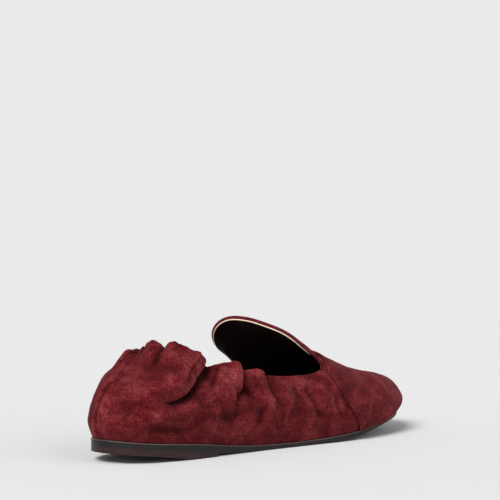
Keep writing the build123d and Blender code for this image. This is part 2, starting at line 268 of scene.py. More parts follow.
class Flap:
    """An overlapping fold: a broad lobe on one side that ends in a steep lip over a hollow."""

    def __init__(self, points, height, width, hollow, hollow_width, lean, lip=1.0, taper=(0.0, 0.35)):
        self.path = Path(points, taper)
        self.height = height
        self.width = width
        self.hollow = hollow
        self.hollow_width = hollow_width
        self.lean = lean
        self.lip = lip

    def push(self, a, b):
        """Outward push, and the push along the two coordinates that makes the lip hang over."""
        distance, strength, across = self.path.measure(a, b)
        rise = self.height * np.where(distance > 0, bump(distance, self.width), bump(distance, self.lip))
        floor = -self.hollow * bump(distance + self.lip * 1.9, self.hollow_width)
        hang = self.lean * bump(distance - self.lip * 0.5, self.lip * 1.9)
        return strength * (rise + floor * (distance < 4)), (strength * hang)[..., None] * across


class Soft:
    """A soft ridge (positive height) or valley (negative height) along a path."""

    def __init__(self, points, height, width, taper=(0.2, 0.35)):
        self.path = Path(points, taper)
        self.height = height
        self.width = width

    def push(self, a, b):
        distance, strength, _ = self.path.measure(a, b)
        return self.height * strength * bump(distance, self.width), np.zeros(a.shape + (2,))


# fold lines of the outer side, as (x, z) in the shoe frame, from the topline down
LATERAL_FOLDS = [
    Flap([(54, 58), (51.5, 53), (48.5, 50.5), (44, 47.5), (39, 43.5), (33.5, 39.3), (28.5, 36.1), (23, 34),
          (17.5, 32.8)],
         6.0, 10.0, 6.5, 5.6, 4.2, 1.4, (0.0, 0.4)),
    Flap([(78, 52), (77.8, 47), (77.4, 43.5), (75.8, 39), (73.8, 35), (72.5, 31)], 3.6, 7.0, 3.6, 3.0, 2.6,
         1.1),
    Flap([(97, 48), (97.5, 41.5), (98, 37), (99, 32.5), (102.5, 28), (107.5, 23), (113.5, 19.5)], 3.0, 7.5,
         2.6, 3.2, 2.0,
         1.0, (0.0, 0.5)),
    Flap([(54.5, 35), (57.8, 38), (61.3, 41.8), (65, 46), (66.5, 50)], 1.8, 3.6, 1.8, 2.0, 1.0, 0.8,
         (0.3, 0.15)),
    Flap([(66.5, 44.5), (69, 37.5), (71, 32), (70.3, 27)], 2.0, 3.6, 1.8, 2.2, 1.0, 0.9, (0.25, 0.35)),
    Soft([(35.5, 46), (25, 42.4), (17.5, 39), (11, 36.2)], 2.2, 3.4, (0.2, 0.35)),
    Soft([(47, 51), (41, 49.8), (33, 48.8), (24, 47.5), (15, 44.5)], -2.4, 3.0, (0.25, 0.35)),
    Soft([(46, 31.5), (33, 28.4), (20, 26), (10, 23.5)], 2.8, 4.4, (0.2, 0.35)),
    Soft([(44, 14.5), (36, 15.5), (26, 17.3), (14, 17.5), (4, 17)], -1.8, 3.0, (0.25, 0.3)),
    Soft([(78, 38), (82.5, 35), (88, 31)], -2.4, 2.8, (0.1, 0.4)),
    Soft([(78, 24), (68, 21), (58, 22.5)], -2.0, 3.6, (0.25, 0.35)),
    Soft([(94, 26), (92.5, 20), (88.5, 14)], -1.6, 2.6, (0.25, 0.3)),
    Soft([(99, 30), (98, 22), (95, 14)], 1.5, 3.0, (0.25, 0.3)),
    Soft([(49.5, 21), (52, 17.5), (57, 12.5)], 1.3, 2.8, (0.25, 0.3)),
    Soft([(110, 38), (114, 31), (120, 25)], 1.4, 3.4, (0.2, 0.3)),
    Soft([(121, 36), (124, 30), (129, 23)], -1.3, 2.8, (0.2, 0.3)),
    Soft([(129, 35), (134.5, 28), (138, 20), (141, 12)], -1.5, 2.6, (0.15, 0.25)),
    Soft([(142.5, 36), (144, 28), (143, 17)], 1.3, 2.8, (0.15, 0.3)),
    Soft([(148, 40), (146, 40.5), (144, 41)], 0.8, 2.6, (0.1, 0.1)),
    Soft([(131, 38), (139, 38.2)], -0.6, 1.8, (0.3, 0.3)),
    Soft([(153, 30), (154, 24), (155.5, 18), (160, 12)], -1.6, 1.9, (0.25, 0.3)),
    Soft([(158.5, 29), (161, 24), (163.5, 18)], -1.4, 2.0, (0.25, 0.3)),
]
# the inner side has the same kind of gathers, at places of its own
MEDIAL_FOLDS = [
    Flap([(60, 60), (57.5, 55), (54, 51), (49, 47), (43.5, 43.2), (37, 40), (30, 37.5), (22, 36)], 5.4,
         9.5, 5.4, 4.4, 3.6,
         1.4, (0.0, 0.4)),
    Flap([(84, 55), (84, 49), (82.6, 43), (80, 37.5), (78, 32)], 3.4, 7.0, 3.3, 3.0, 2.4, 1.1),
    Flap([(102, 50), (102.6, 44), (105, 37.5), (110.5, 31), (118, 26)], 2.8, 7.5, 2.4, 3.2, 1.9, 1.0,
         (0.0, 0.5)),
    Flap([(60, 37), (64, 41), (68, 46), (70, 52)], 1.2, 3.2, 1.1, 1.6, 0.9, 0.7, (0.3, 0.15)),
    Flap([(73, 46), (75, 39.5), (76, 34), (75, 29)], 1.3, 3.0, 1.0, 1.8, 0.9, 0.8, (0.25, 0.35)),
    Soft([(94, 50), (93, 43), (90, 36)], -1.5, 2.0, (0.0, 0.4)),
    Soft([(41, 49), (31, 45.5), (22, 42.5), (14, 39)], 1.5, 3.4, (0.2, 0.35)),
    Soft([(55, 55), (46, 53.5), (36, 51), (26, 49), (18, 46)], -1.6, 2.8, (0.05, 0.35)),
    Soft([(50, 33), (37, 30.5), (24, 28), (12, 25.5)], 1.8, 4.8, (0.2, 0.35)),
    Soft([(48, 16.5), (38, 18), (26, 19.5), (13, 19)], -1.2, 3.0, (0.25, 0.3)),
    Soft([(86, 38), (91, 34), (97, 30)], -1.4, 2.6, (0.1, 0.4)),
    Soft([(84, 25), (73, 22.5), (62, 23.5)], -1.2, 3.4, (0.25, 0.35)),
    Soft([(103, 30), (101, 22), (98, 14)], 1.5, 3.0, (0.25, 0.3)),
    Soft([(116, 40), (119, 31), (125, 22)], 0.8, 3.0, (0.2, 0.3)),
    Soft([(126, 40), (129, 30), (135, 18)], -0.9, 2.6, (0.15, 0.3)),
    Soft([(137, 40), (141, 28), (146, 15)], 0.7, 2.8, (0.15, 0.3)),
    Soft([(150, 33), (155, 21), (161, 11)], -0.9, 2.0, (0.2, 0.3)),
]
# lobes and notches of the back, as millimetres round the heel from the seam (negative on the inner side)
# and up the wall
AROUND, UP_WALL = 17.0, 52.0
BACK_FOLDS = [
    Soft([(23.4, 53), (21.4, 49), (20, 45), (18.7, 40), (18, 36)], -1.5, 1.9, (0.0, 0.45)),
    Soft([(30, 54), (28, 48), (25, 42)], 1.6, 3.4, (0.0, 0.4)),
    Soft([(14, 54), (13.6, 47), (12, 40)], 2.0, 4.0, (0.0, 0.4)),
    Soft([(4.8, 54), (5.4, 50), (6.3, 46)], -1.7, 1.1, (0.0, 0.5)),
    Soft([(-2.2, 54), (-2.6, 48), (-3.2, 44), (-4, 40)], -1.3, 1.3, (0.0, 0.4)),
    Soft([(-9.5, 54), (-9.5, 46), (-8, 39)], 0.7, 3.6, (0.0, 0.4)),
    Soft([(-18.5, 53), (-17, 46), (-14, 39)], -2.4, 1.8, (0.0, 0.45)),
    Soft([(-26, 53), (-24, 47), (-20, 41)], 1.0, 3.6, (0.0, 0.4)),
    Soft([(9.5, 18.5), (14, 17), (19, 14.5)], -1.4, 3.6, (0.3, 0.3)),
    Soft([(-9, 21), (-14, 19), (-20, 16)], -1.2, 4.0, (0.3, 0.3)),
]
# rise and fall of the gathered top edge, by millimetres round the heel and then by x along each side
BACK_EDGE = [(-34, 0), (-26, -0.4), (-18.5, -2.2), (-10, -2.0), (-3, -1.6), (0.5, -0.8), (3.5, 1.8),
             (9, 3.2), (14, 3.0),
             (20, 1.8), (22.8, 0.6), (26, 2.2), (34, 2.0), (44, 0)]
LATERAL_EDGE = [(20, 0), (40, 0.1), (46, -0.2), (51.2, 0.4), (54.8, -2.2), (60, -1.6), (69, 0.5), (75, 1.5),
                (77.8, 0.9), (80.8, -1.9), (83.5, -1.6), (88, -0.3), (93.5, 0.5), (96.6, 0.1), (100, -1.4),
                (106, -0.9),
                (117, -0.6), (130, -0.2), (147, 0)]
MEDIAL_EDGE = [(20, 0), (46, 0.3), (52, -0.2), (57, 0.6), (60.5, -2.0), (66, -1.3), (76, 0.7), (81.5, 1.3),
               (84, 0.8), (87, -1.7), (93, -1.2), (99, 0.5), (102, 0.1), (105, -1.3), (114, -0.7), (137, 0)]


def blur(grid, cells):
    """Smooths a grid with three box filters of the given width."""
    for axis in (0, 1) * 3:
        pad = [(cells, cells) if k == axis else (0, 0) for k in (0, 1)]
        total = np.cumsum(np.pad(grid, pad, mode="edge"), axis=axis)
        size = grid.shape[axis]
        high = np.take(total, np.arange(2 * cells, 2 * cells + size), axis=axis)
        low = np.take(total, np.arange(size), axis=axis)
        grid = (high - low) / (2 * cells)
    return grid


RELIEF_CELLS = 40
RELIEF_HEIGHT = 2.4


def relief_of(height):
    """How far each place stands above (1) or below (-1) its neighbourhood. The suede's colour uses it for
    painted shade in the hollows and a painted highlight on the ridges, together with nap rubbed lighter on the
    ridges."""
    return np.clip((height - blur(height, RELIEF_CELLS)) / RELIEF_HEIGHT, -1, 1)


def gather(side, v, seed):
    """Fine puckers under the topline, where the elastic pulls the suede together."""
    reach = 1 - smooth(4.2, 5.3, side)
    phase = side * 11.0 + 2.2 * noise(side * 1.7, v * 4, seed)
    return reach * 0.22 * (np.cos(phase) + 0.6 * np.cos(phase * 1.9 + 1.3)) * smooth(0.8, 1.0, v)


def folded_quarter(u, v, lateral):
    """Displaced points of a quarter: base surface, folds, puckers and the rolled back seam."""
    point, normal = base_frame(u, v)
    x, z = point[..., 0], point[..., 2]
    around = np.where(u > RIB_COUNT / 2, u - RIB_COUNT, u)
    side = abs(around)
    outward = np.zeros_like(x)
    shift = np.zeros(x.shape + (2,))
    forepart = smooth(1.0, 2.2, side)
    for fold in LATERAL_FOLDS if lateral else MEDIAL_FOLDS:
        out, across = fold.push(x, z)
        outward += out * forepart
        shift += across * forepart[..., None]
    for fold in BACK_FOLDS:
        outward += fold.push(around * AROUND, v * UP_WALL)[0] * (1 - smooth(2.0, 3.0, side))
    outward += gather(side, v, 11 if lateral else 23)
    # broad unevenness of a soft panel, and finer creases near the gathers
    seed = 5 if lateral else 8
    outward += 0.6 * noise(x / 12 + 7, z / 9, seed) * smooth(0.05, 0.3, v)
    outward += 0.22 * noise(x / 4.6, z / 5.5 + 3, seed + 1) * smooth(0.1, 0.4,
                                                                     v) * (1 - smooth(105, 140, x))
    # closed back seam: the panel edges roll inwards into a groove
    edge = side * AROUND
    outward = outward * smooth(0, 3.2, edge) ** 0.5
    outward += 0.55 * bump(edge - 2.0, 1.3) - 1.5 * bump(edge, 0.75)
    settle = smooth(0, 0.1, v)
    moved = point + normal * (outward * settle)[..., None]
    moved[..., 0] += shift[..., 0] * settle
    knots = np.array(LATERAL_EDGE if lateral else MEDIAL_EDGE, float)
    back_knots = np.array(BACK_EDGE, float)
    edge_lift = np.interp(x, knots[:, 0], knots[:, 1])
    edge_lift += np.interp(around * AROUND, back_knots[:, 0], back_knots[:, 1])
    moved[..., 2] += shift[..., 1] * settle + edge_lift * smooth(0.66, 1.0, v)
    return moved, relief_of(outward * settle), normal


# ---------------------------------------------------------------------------
# Mesh building
# ---------------------------------------------------------------------------
def add_mesh(name, points, faces, material, smooth_shade=True):
    mesh = bpy.data.meshes.new(name)
    mesh.from_pydata([tuple(p) for p in points], [], [tuple(f) for f in faces])
    mesh.update()
    mesh.polygons.foreach_set("use_smooth", [smooth_shade] * len(mesh.polygons))
    piece = bpy.data.objects.new(name, mesh)
    bpy.context.scene.collection.objects.link(piece)
    mesh.materials.append(material)
    return piece


def grid_faces(rows, columns, closed_rows=False):
    i, j = np.meshgrid(np.arange(rows if closed_rows else rows - 1), np.arange(columns - 1), indexing="ij")
    a = i * columns + j
    b = a + 1
    c = ((i + 1) % rows) * columns + j + 1
    d = ((i + 1) % rows) * columns + j
    return np.stack([a, b, c, d], -1).reshape(-1, 4)


def surface_normals(grid):
    """Unit normals of a grid of points (rows, columns, 3), pointing outwards for u along columns."""
    return unit(np.cross(np.gradient(grid, axis=1), np.gradient(grid, axis=0)))


def edge_up(outer, normal):
    """Direction that leaves the sheet at its top edge, at right angles to the edge."""
    up = unit(np.cross(normal[-1], np.gradient(outer[-1], axis=0)))
    rising = ((outer[-1] - outer[-3]) * up).sum(-1, keepdims=True)
    return up * np.where(rising.mean() < 0, -1, 1)


def shell(name, layers, caps, materials, rim_layer=None, relief=None):
    """Closed skin through layers of points (each rows x columns x 3), one after another round the section.
    caps pairs runs of rows that face each other, for the walls at both ends."""
    loop = np.concatenate(layers)
    count, columns = loop.shape[:2]
    faces = [list(face) for face in grid_faces(count, columns, closed_rows=True)]
    for column in (0, columns - 1):
        for run, opposite in caps:
            for i in range(len(run) - 1):
                quad = [run[i], run[i + 1], opposite[i + 1], opposite[i]]
                ring = []
                for row in quad:
                    if row * columns + column not in ring:
                        ring.append(row * columns + column)
                if len(ring) > 2:
                    faces.append(ring if column else ring[::-1])
    piece = add_mesh(name, to_row(loop.reshape(-1, 3)), faces, materials[0])
    for material in materials[1:]:
        piece.data.materials.append(material)
    # relief goes on the mesh for the suede colour's painted shade in hollows and painted highlight on ridges
    if relief is not None:
        rest = np.repeat(relief[-1:], count - len(relief), axis=0)
        values = np.concatenate([relief, rest]).astype(np.float32).ravel()
        piece.data.attributes.new("relief", "FLOAT", "POINT").data.foreach_set("value", values)
    if rim_layer is not None:
        first = sum(len(layer) for layer in layers[:rim_layer])
        last = first + len(layers[rim_layer])
        for polygon in piece.data.polygons:
            row = min(polygon.vertices) // columns
            if first - 1 <= row < last and max(polygon.vertices) // columns - row <= 1:
                polygon.material_index = 1
    return piece


def plain_shell(name, outer, thickness, materials, rim_steps=6, grooved=False, relief=None, normal=None):
    """Sheet of even thickness with a rounded top edge."""
    normal = surface_normals(outer) if normal is None else normal
    rows = len(outer)
    up = edge_up(outer, normal)
    centre = outer[-1] - normal[-1] * thickness / 2
    rim = []
    for angle in np.linspace(0, math.pi, rim_steps + 2)[1:-1]:
        radius = thickness / 2 * (1 - (0.3 * math.exp(-((angle - 1.75) / 0.3) ** 2) if grooved else 0))
        rim.append(centre + normal[-1] * radius * math.cos(angle) + up * radius * math.sin(angle))
    rim = np.array(rim).reshape(-1, outer.shape[1], 3)
    inner = (outer - normal * thickness)[::-1]
    count = rows * 2 + len(rim)
    run = list(range(rows + len(rim) // 2))
    opposite = [count - 1 - row for row in run]
    return shell(name, [outer, rim, inner], [(run, opposite)], materials,
                 1 if len(materials) > 1 else None, relief)


def turned_shell(name, outer, normal, thickness, roll, turn_rows, material, relief):
    """Sheet whose top edge is turned over to the inside: a roll of the given radius and a return flap."""
    rows = len(outer)
    up = edge_up(outer, normal)
    centre = outer[-1] - normal[-1] * roll
    arc = [centre + roll * (normal[-1] * math.cos(angle) + up * math.sin(angle))
           for angle in np.linspace(0, math.pi, 14)[1:-1]]
    depth = 2 * roll
    down = (outer - normal * depth)[rows - turn_rows:][::-1]
    back = (outer - normal * (depth - thickness * 0.9))[rows - turn_rows:-1]
    inner = (outer - normal * thickness)[:-1][::-1]
    layers = [outer, np.array(arc), down, back, inner]
    first_down = rows + len(arc)
    first_back = first_down + turn_rows
    first_inner = first_back + turn_rows - 1
    count = first_inner + rows - 1
    low = list(range(rows - 1))
    facing = [count - 1 - row for row in low]
    flap = list(range(first_down + 1, first_back))
    flap_facing = [first_back + first_back - 1 - row for row in flap]
    hem = list(range(rows - 2, rows + len(arc) // 2 + 1))
    hem_facing = [first_inner] + [first_down + 1 - i for i in range(len(hem) - 1)]
    return shell(name, layers, [(low, facing), (flap, flap_facing), (hem, hem_facing)], [material], None,
                 relief)


def uv_block(left, right, rows, columns, low=0.0, high=1.0):
    """Grid of (u, v) places between two side edges."""
    t = np.linspace(low, high, rows)
    a, b = curve(np.array(left, float), t), curve(np.array(right, float), t)
    s = np.linspace(0, 1, columns)[None, :, None]
    grid = a[:, None] * (1 - s) + b[:, None] * s
    return grid[..., 0], grid[..., 1]


# ---------------------------------------------------------------------------
# Materials
# ---------------------------------------------------------------------------
class Nodes:
    """Small helper that adds shader nodes and links them by name."""

    def __init__(self, name):
        self.material = bpy.data.materials.new(name)
        self.material.use_nodes = True
        self.tree = self.material.node_tree
        self.tree.nodes.clear()
        self.output = self.add("ShaderNodeOutputMaterial")
        self.shader = self.add("ShaderNodeBsdfPrincipled")
        self.tree.links.new(self.shader.outputs[0], self.output.inputs["Surface"])
        self.place = self.add("ShaderNodeTexCoord").outputs["Object"]

    def add(self, kind, **settings):
        node = self.tree.nodes.new(kind)
        for key, value in settings.items():
            setattr(node, key, value)
        return node

    def link(self, source, target):
        self.tree.links.new(source, target)

    def set(self, **values):
        for key, value in values.items():
            self.shader.inputs[key.replace("_", " ")].default_value = value

    def noise(self, scale, detail=2.0, roughness=0.5, stretch=None, distortion=0.0):
        node = self.add("ShaderNodeTexNoise")
        node.inputs["Scale"].default_value = scale
        node.inputs["Detail"].default_value = detail
        node.inputs["Roughness"].default_value = roughness
        node.inputs["Distortion"].default_value = distortion
        place = self.place
        if stretch:
            mapping = self.add("ShaderNodeMapping")
            mapping.inputs["Scale"].default_value = stretch
            self.link(self.place, mapping.inputs["Vector"])
            place = mapping.outputs["Vector"]
        self.link(place, node.inputs["Vector"])
        return node.outputs["Fac"]

    def ramp(self, source, *stops):
        node = self.add("ShaderNodeValToRGB")
        elements = node.color_ramp.elements
        while len(elements) < len(stops):
            elements.new(0.5)
        for element, (position, color) in zip(elements, stops):
            element.position = position
            element.color = (*color, 1)
        self.link(source, node.inputs["Fac"])
        return node.outputs["Color"]

    def mix(self, a, b, factor, blend="MIX"):
        node = self.add("ShaderNodeMix", data_type="RGBA", blend_type=blend)
        for value, socket in ((factor, node.inputs[0]), (a, node.inputs[6]), (b, node.inputs[7])):
            if hasattr(value, "links"):
                self.link(value, socket)
            elif isinstance(value, (int, float)):
                socket.default_value = value
            else:
                socket.default_value = (*value, 1)
        return node.outputs[2]

    def math(self, operation, a, b, c=0.5):
        node = self.add("ShaderNodeMath", operation=operation)
        for value, socket in ((a, node.inputs[0]), (b, node.inputs[1]), (c, node.inputs[2])):
            if hasattr(value, "links"):
                self.link(value, socket)
            else:
                socket.default_value = value
        return node.outputs[0]

    def bump(self, height, distance, strength=1.0):
        node = self.add("ShaderNodeBump")
        node.inputs["Distance"].default_value = distance
        node.inputs["Strength"].default_value = strength
        self.link(height, node.inputs["Height"])
        self.link(node.outputs["Normal"], self.shader.inputs["Normal"])


def suede_material(name, dark, middle, light):
    """Brushed nap (large soft patches, small mottling, fine fibrous grain), with painted shade in hollows and
    a painted highlight on ridges.
    """
    m = Nodes(name)
    patches = m.noise(85, 3, 0.55, (1, 1, 1.3), 0.6)
    mottle = m.noise(300, 3, 0.6)
    grain = m.noise(1050, 3, 0.7)
    fibres = m.noise(3000, 2, 0.6, (1, 1, 0.45))
    relief = m.add("ShaderNodeAttribute", attribute_name="relief").outputs["Fac"]
    body = m.ramp(patches, (0.33, dark), (0.5, middle), (0.67, light))
    body = m.mix(body, m.ramp(mottle, (0.36, dark), (0.64, light)), 0.16)
    body = m.mix(body, m.ramp(grain, (0.38, (0.5, 0.42, 0.42)), (0.62, (1.5, 1.7, 1.65))), 0.9, "MULTIPLY")
    # relief darkens the colour in the hollows as painted shade and lightens it on the ridges as a painted
    # highlight, partly also rubbed nap
    shade_and_wear = m.math("MULTIPLY_ADD", relief, 0.5)
    body = m.mix(body, m.ramp(shade_and_wear, (0.0, (0.2, 0.09, 0.11)), (0.5, (1, 1, 1)), (1.0, (1.45, 1.85, 1.8))),
                 0.95,
                 "MULTIPLY")
    m.link(body, m.shader.inputs["Base Color"])
    m.set(Roughness=0.95, Sheen_Weight=0.1, Sheen_Roughness=0.5, Sheen_Tint=(0.8, 0.3, 0.33, 1),
          Specular_IOR_Level=0.04)
    height = m.math("ADD", m.math("MULTIPLY", grain, 0.7), m.math("MULTIPLY", fibres, 0.5))
    height = m.math("ADD", height, m.math("MULTIPLY", mottle, 0.8))
    m.bump(height, 0.00022, 0.85)
    return m.material


def leather_material(name, dark, light, roughness=0.5):
    """Smooth lining leather with a fine pebble and faint crease marks."""
    m = Nodes(name)
    cells = m.add("ShaderNodeTexVoronoi", feature="DISTANCE_TO_EDGE")
    cells.inputs["Scale"].default_value = 1100
    m.link(m.place, cells.inputs["Vector"])
    tone = m.noise(70, 3, 0.55)
    m.link(m.ramp(tone, (0.3, dark), (0.7, light)), m.shader.inputs["Base Color"])
    m.link(m.ramp(m.noise(500, 2), (0.3, (roughness - 0.08,) * 3), (0.7, (roughness + 0.1,) * 3)),
           m.shader.inputs["Roughness"])
    m.set(Specular_IOR_Level=0.12)
    m.bump(cells.outputs["Distance"], 0.0001, 0.5)
    return m.material


def sole_material(name, dark, light, roughness=0.42):
    """Moulded, buffed edge: faint horizontal buffing marks and small scuffs."""
    m = Nodes(name)
    streaks = m.noise(900, 3, 0.6, (0.08, 0.08, 1.6))
    scuffs = m.noise(160, 4, 0.65)
    body = m.ramp(streaks, (0.3, dark), (0.75, light))
    body = m.mix(body, m.ramp(scuffs, (0.4, dark), (0.8, light)), 0.4)
    m.link(body, m.shader.inputs["Base Color"])
    m.link(m.ramp(scuffs, (0.3, (roughness - 0.1,) * 3), (0.75, (roughness + 0.15,) * 3)),
           m.shader.inputs["Roughness"])
    m.set(Specular_IOR_Level=0.2)
    m.bump(m.math("ADD", m.math("MULTIPLY", streaks, 0.5), scuffs), 0.00012, 0.5)
    return m.material


def thread_material(name, color):
    m = Nodes(name)
    twist = m.noise(4200, 2, 0.5)
    m.link(m.ramp(twist, (0.3, tuple(c * 0.6 for c in color)), (0.7, color)), m.shader.inputs["Base Color"])
    m.set(Roughness=0.8, Specular_IOR_Level=0.05)
    m.bump(twist, 0.0001, 0.6)
    return m.material


def plain_material(name, dark, light, scale, roughness):
    """Matt inner stock: board, foam, tape and the like."""
    m = Nodes(name)
    tone = m.noise(scale, 4, 0.6)
    m.link(m.ramp(tone, (0.3, dark), (0.7, light)), m.shader.inputs["Base Color"])
    m.set(Roughness=roughness)
    m.bump(tone, 0.0001, 0.5)
    return m.material


SUEDE_SKIN = suede_material("burgundy_suede", (0.046, 0.0025, 0.0036), (0.083, 0.0066, 0.0088),
                            (0.132, 0.017, 0.0195))
RIM_SUEDE = suede_material("rim_suede", (0.05, 0.003, 0.007), (0.09, 0.008, 0.014), (0.14, 0.018, 0.026))
LINING_SKIN = leather_material("lining_leather", (0.006, 0.001, 0.0015), (0.012, 0.002, 0.003), 0.6)
SOCK_SKIN = leather_material("sock_leather", (0.014, 0.008, 0.008), (0.03, 0.018, 0.018), 0.55)
RAW_EDGE = plain_material("raw_leather_edge", (0.62, 0.47, 0.34), (0.83, 0.68, 0.52), 900, 0.8)
SOLE_SKIN = sole_material("sole_edge", (0.006, 0.005, 0.006), (0.016, 0.013, 0.014), 0.5)
HEEL_SKIN = sole_material("heel_edge", (0.014, 0.0062, 0.0062), (0.04, 0.019, 0.018), 0.45)
# lighter tone painted as the highlight along the sole's top edge
EDGE_HIGHLIGHT_SKIN = sole_material("edge_highlight_tone", (0.045, 0.034, 0.033), (0.12, 0.095, 0.09), 0.4)
THREAD = thread_material("burgundy_thread", (0.1, 0.009, 0.013))
FOAM_STOCK = plain_material("foam_stock", (0.6, 0.55, 0.45), (0.75, 0.7, 0.6), 1200, 0.9)
BOARD_STOCK = plain_material("board_stock", (0.4, 0.32, 0.22), (0.55, 0.45, 0.33), 800, 0.85)
WHITE_STOCK = plain_material("white_stock", (0.7, 0.68, 0.62), (0.82, 0.8, 0.76), 1500, 0.8)
DARK_STOCK = plain_material("elastic_stock", (0.03, 0.03, 0.03), (0.1, 0.09, 0.09), 2500, 0.85)
STEEL_STOCK = plain_material("nail_steel", (0.5, 0.5, 0.5), (0.65, 0.65, 0.66), 3000, 0.35)
STEEL_STOCK.node_tree.nodes["Principled BSDF"].inputs["Metallic"].default_value = 1.0

CAD_LOOKS = {
    "outsole": SOLE_SKIN, "heel_block": HEEL_SKIN, "heel_top_lift": HEEL_SKIN, "heel_nails": STEEL_STOCK,
    "lasting_margin": SUEDE_SKIN, "bottom_filler": BOARD_STOCK, "insole_board": BOARD_STOCK,
    "footbed_foam": FOAM_STOCK, "heel_pad": FOAM_STOCK, "sock_lining": SOCK_SKIN,
}


def dress_cad_nodes():
    for name, material in CAD_LOOKS.items():
        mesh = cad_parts[name].data
        mesh.materials.clear()
        mesh.materials.append(material)


# ---------------------------------------------------------------------------
# Pieces of the upper
# ---------------------------------------------------------------------------
def place(piece, slot, *nodes):
    """Common ending of every piece: body and the CAD nodes that it stands for; the slot is not used."""
    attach(piece, "root")
    if nodes:
        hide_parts(*nodes)
    return piece


def drop_to_sole(grid, rows):
    """Brings the lowest rows of a wall down on to the sole's top face."""
    foot = grid[0]
    drop = sole_top(foot[:, 0]) + 0.05 - foot[:, 2]
    for row in range(rows):
        grid[row, :, 2] += drop * (1 - row / rows) ** 2
    return grid


LINING_THICKNESS = 0.8
QUARTER_ROWS = 200
QUARTER_COLUMNS = 640
QUARTER_TOP = 0.975        # the roll of the turned edge makes up the rest
TURN_ROWS = 24             # rows of the turned-in flap
ROLL = 1.45                # radius of the turned edge
SOLE_EDGE = 0.75           # how far the sole stands out beyond the feather line
BEAD = 0.32
BEAD_COLUMNS = 480
BEAD_SIDES = 10
VAMP_ROWS = 260
VAMP_COLUMNS = 520
VAMP_LIFT = 1.5
VAMP_THICKNESS = 1.35
VAMP_EDGE_INSET = 10       # columns by which the inner layers stay back from the vamp's edges
VAMP_EDGE_STEPS = 150
TOE_TUCK = 1.4
TOE_DROP = 1.6
TONGUE_ROWS = 150
TONGUE_COLUMNS = 400
TONGUE_LOW = 0.62
TONGUE_GAP = 0.02
TONGUE_THICKNESS = 1.9
STITCH_ROWS = (1.6, 4.6)   # distances from the vamp's edge
STITCH_PITCH = 2.6
STITCH_LENGTH = 1.7
STITCH_RADIUS = 0.23


def band(name, slot, outer, normal, depth, thickness, material, rows, columns=slice(None)):
    """A layer that lies at a depth under a panel, such as lining, tape or elastic."""
    under = (outer - normal * depth)[rows, columns][::2, ::2]
    piece = plain_shell(name, under, thickness, [material], 2, normal=normal[rows, columns][::2, ::2])
    return place(piece, slot, name)


def build_quarter(name, lateral):
    back = [(0.0, 0), (0.0, 1)] if lateral else [(float(RIB_COUNT), 0), (float(RIB_COUNT), 1)]
    front = QUARTER_FRONT_LATERAL if lateral else QUARTER_FRONT_MEDIAL
    sides = (back, front) if lateral else (front, back)
    u, v = uv_block(*sides, QUARTER_ROWS, QUARTER_COLUMNS, 0.0, QUARTER_TOP)
    moved, relief, base_normal = folded_quarter(u, v, lateral)
    outer = drop_to_sole(moved, 10)
    # the grid is too sheared near the throat for normals of its own
    side = np.where(u > RIB_COUNT / 2, RIB_COUNT - u, u)
    throat = smooth(4.6, 5.4, side)[..., None]
    normal = unit(surface_normals(outer) * (1 - throat) + base_normal * throat)
    place(turned_shell(name, outer, normal, SUEDE, ROLL, TURN_ROWS, SUEDE_SKIN, relief), "suede", name)
    band(name + "_lining", "lining_leather", outer, normal, SUEDE + 0.15, LINING_THICKNESS, LINING_SKIN,
         slice(0, QUARTER_ROWS - TURN_ROWS + 4))
    return outer, normal


def build_inner_parts(lateral, medial):
    """Elastic, seam tape, heel counter and heel grip, laid under the folded quarters."""
    outer, normal = (np.concatenate([inner_side[:, :-1], outer_side], axis=1)
                     for inner_side, outer_side in zip(medial, lateral))
    rows = len(outer)
    seam = medial[0].shape[1] - 1

    def wrap(name, slot, depth, thickness, material, low, high, reach):
        band(name, slot, outer, normal, depth, thickness, material, slice(low, high),
             slice(seam - reach, seam + reach))

    wrap("topline_elastic", "elastic", SUEDE + 0.05, 0.5, DARK_STOCK, rows - 18, rows - 4, 420)
    wrap("back_seam_tape", "tape", SUEDE + 0.05, 0.3, WHITE_STOCK, 8, rows - 70, 20)
    wrap("heel_counter", "stiffener", SUEDE + 0.1, 0.6, WHITE_STOCK, 4, rows // 2, 200)
    wrap("heel_grip", "lining_leather", SUEDE + 1.2, 0.7, LINING_SKIN, rows // 4, rows - TURN_ROWS - 8, 150)


def build_sole_bead():
    """The top corner of the sole's edge, a fine line all round the shoe, in a lighter tone painted as its
    highlight.
    """
    u = np.linspace(0, RIB_COUNT, BEAD_COLUMNS + 1)[:-1]
    foot = raw_upper(u, np.zeros_like(u))
    along = unit(np.roll(foot, -1, axis=0) - np.roll(foot, 1, axis=0))
    out = unit(np.column_stack([along[:, 1], -along[:, 0], np.zeros_like(u)]))
    centre = foot + out * SOLE_EDGE
    centre[:, 2] = sole_top(centre[:, 0]) - BEAD * 0.9
    angles = np.linspace(0, 2 * math.pi, BEAD_SIDES + 1)[:-1]
    rise = np.array([0, 0, 1.0])
    loop = np.array([centre + BEAD * (out * math.cos(a) + rise * math.sin(a)) for a in angles])
    faces = []
    for i in range(BEAD_SIDES):
        ring, following = i * BEAD_COLUMNS, (i + 1) % BEAD_SIDES * BEAD_COLUMNS
        for j in range(BEAD_COLUMNS):
            across = (j + 1) % BEAD_COLUMNS
            faces.append((ring + j, following + j, following + across, ring + across))
    place(add_mesh("sole_edge_bead", to_row(loop.reshape(-1, 3)), faces, EDGE_HIGHLIGHT_SKIN), "sole_edge")


